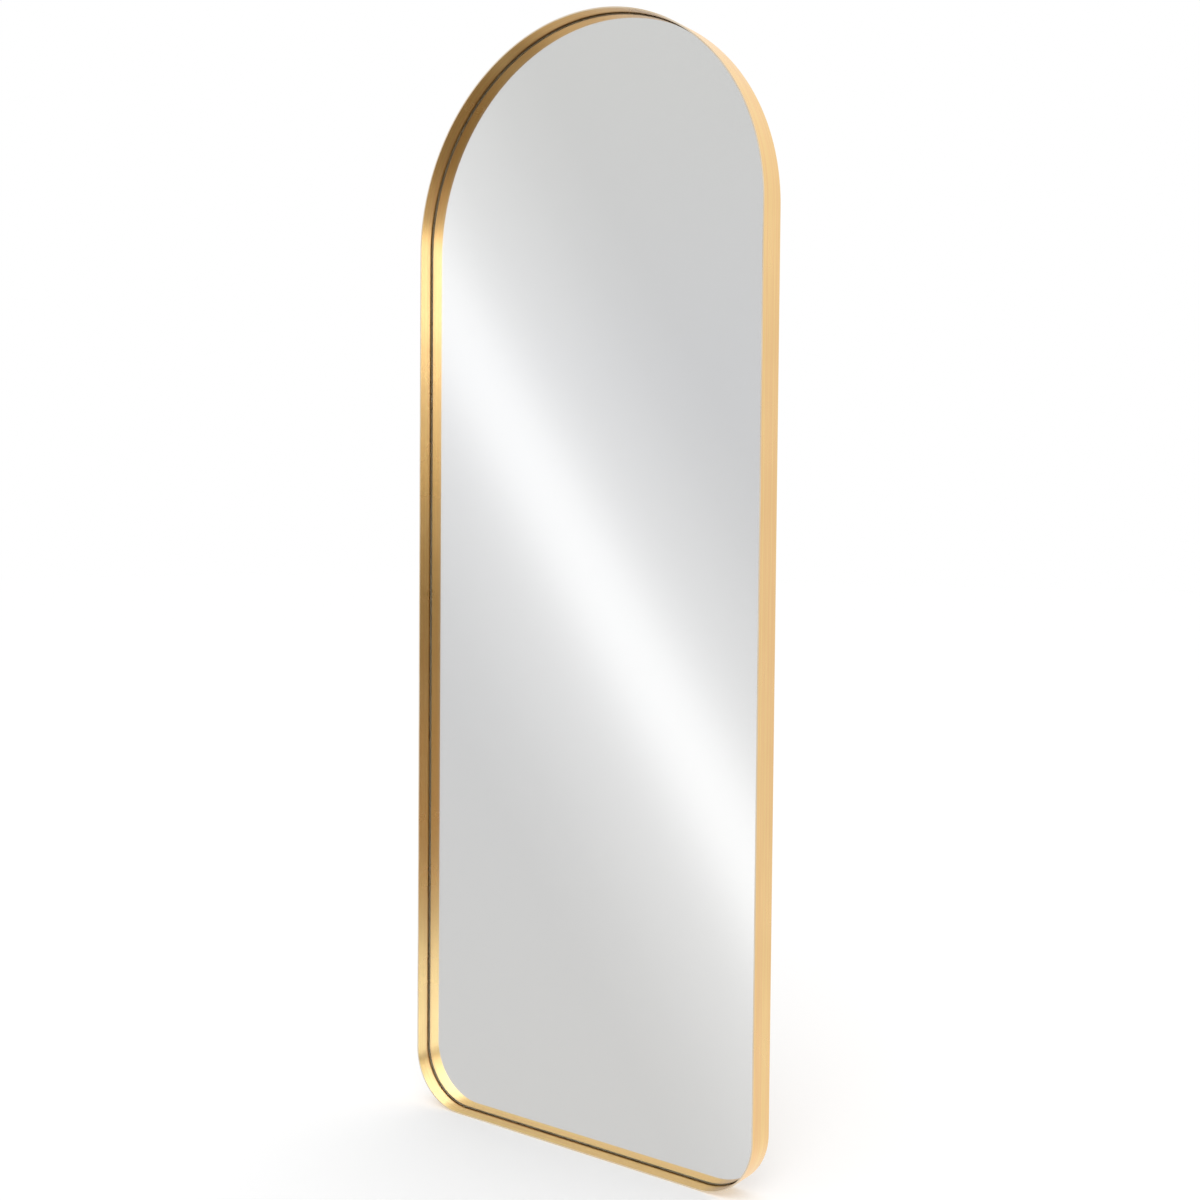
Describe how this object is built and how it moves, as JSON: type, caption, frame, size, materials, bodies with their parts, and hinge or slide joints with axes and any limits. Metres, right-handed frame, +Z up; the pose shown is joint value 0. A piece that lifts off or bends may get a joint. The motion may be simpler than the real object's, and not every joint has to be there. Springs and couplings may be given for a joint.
{
  "type": "wall mirror",
  "caption": "Full-length arched wall mirror: silvered glass sunk in a deep, thin band of brushed gold metal, on a board with two swinging D-ring hangers behind.",
  "frame": {"origin": "bottom middle of the band's back rim, on the wall plane", "axes": "+Z up, +Y into the wall, so the glass faces -Y; +X to the viewer's right"},
  "size_m": [0.6, 0.042, 1.5998],
  "materials": {
    "brushed_gold": "gold-coated steel, brushed along the band",
    "clear_glass": "polished float glass",
    "silvering": "silvered, painted and filmed behind",
    "black_rubber": "matt black rubber",
    "fibreboard": "plain sanded fibreboard",
    "zinc_steel": "zinc plated"
  },
  "bodies": {
    "mirror": {"backing_board": "fibreboard", "board_tab_01": "brushed_gold", "board_tab_02": "brushed_gold", "board_tab_03": "brushed_gold", "board_tab_04": "brushed_gold", "board_tab_05": "brushed_gold", "board_tab_06": "brushed_gold", "board_tab_07": "brushed_gold", "board_tab_08": "brushed_gold", "board_tab_09": "brushed_gold", "edge_strip": "black_rubber", "frame_band": "brushed_gold", "hanger_screws": "zinc_steel", "hanger_strap_left": "zinc_steel", "hanger_strap_right": "zinc_steel", "mirror_glass": "clear_glass", "seam_plate": "brushed_gold", "silver_coat": "silvering", "tab_screws": "zinc_steel", "tape_strip_1": "black_rubber", "tape_strip_2": "black_rubber", "tape_strip_3": "black_rubber", "tape_strip_4": "black_rubber", "tape_strip_5": "black_rubber"},
    "left_ring": {"hanger_ring_left": "zinc_steel"},
    "right_ring": {"hanger_ring_right": "zinc_steel"}
  },
  "joints": [
    {"name": "left_ring_swing", "type": "hinge", "parent": "mirror", "child": "left_ring", "pos_m": [-0.21, -0.0042, 1.25], "axis": [-1, 0, 0], "range_deg": [0, 178]},
    {"name": "right_ring_swing", "type": "hinge", "parent": "mirror", "child": "right_ring", "pos_m": [0.21, -0.0042, 1.25], "axis": [-1, 0, 0], "range_deg": [0, 178]}
  ]
}
